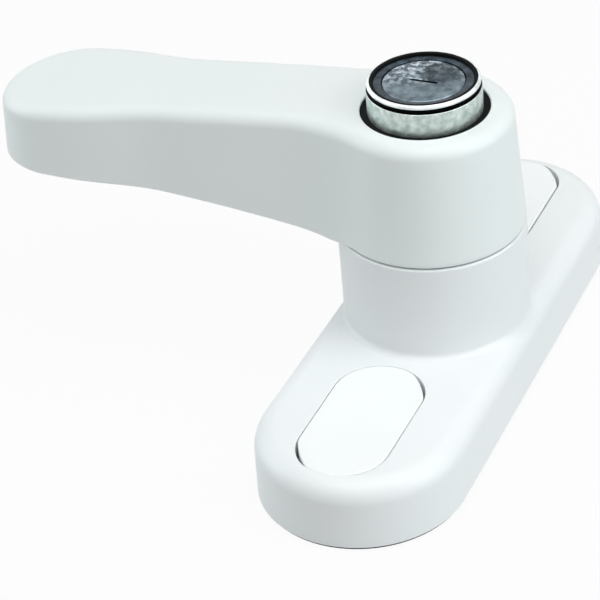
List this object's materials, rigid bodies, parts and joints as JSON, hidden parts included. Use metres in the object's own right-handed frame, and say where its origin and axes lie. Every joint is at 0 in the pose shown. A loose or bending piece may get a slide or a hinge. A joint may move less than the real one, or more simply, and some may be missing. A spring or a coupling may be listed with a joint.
{
  "type": "window child safety lock",
  "caption": "Lockable window handle: a lever on a long base with capped screw holes, and a push-in key lock in its hub that holds the lever still so a child can't open the window.",
  "frame": {"origin": "on the lever's turning axis, in the plane that meets the window frame", "axes": "+Z away from the window frame, +Y along the base, the lever points to -X at rest"},
  "size_m": [0.083, 0.089, 0.0484],
  "materials": {
    "base_coat": "gloss",
    "lever_coat": "gloss",
    "cap_plastic": "gloss",
    "gasket_rubber": "matte",
    "zinc_steel": "satin",
    "natural_nylon": "matte",
    "sintered_steel": "matte",
    "black_nylon": "matte",
    "spring_steel": "satin",
    "bright_chrome": "polished",
    "black_chrome": "polished",
    "dark_plug": "satin",
    "wafer_brass": "satin"
  },
  "bodies": {
    "base": {"base_casting": "base_coat", "screw_cap_front": "cap_plastic", "screw_cap_rear": "cap_plastic", "base_gasket": "gasket_rubber", "backing_plate": "zinc_steel", "bearing_bush": "natural_nylon", "lock_ring": "sintered_steel", "hub_washer": "black_nylon", "detent_springs": "spring_steel"},
    "lever": {"lever_casting": "lever_coat", "neck_circlip": "spring_steel", "neck_washer": "zinc_steel", "guide_ring": "black_nylon", "return_spring": "spring_steel"},
    "barrel": {"lock_barrel": "bright_chrome", "face_seal": "black_nylon", "face_ring": "black_chrome", "locking_pin": "zinc_steel"},
    "plug": {"lock_plug": "dark_plug", "tail_bar": "zinc_steel", "plug_clip": "spring_steel", "wafers": "wafer_brass"}
  },
  "joints": [
    {"name": "lever_turn", "type": "hinge", "parent": "base", "child": "lever", "pos_m": [0, 0, 0], "axis": [0, 0, 1], "range_deg": [-90, 90], "deforming": ["detent_springs"]},
    {"name": "button_push", "type": "slide", "parent": "lever", "child": "barrel", "axis": [0, 0, -1], "range_m": [0, 0.004], "stiffness_N_per_m": 600, "springref_m": -0.003, "deforming": ["return_spring"]},
    {"name": "key_turn", "type": "hinge", "parent": "barrel", "child": "plug", "pos_m": [0, 0, 0.04], "axis": [0, 0, 1], "range_deg": [0, 90]}
  ]
}
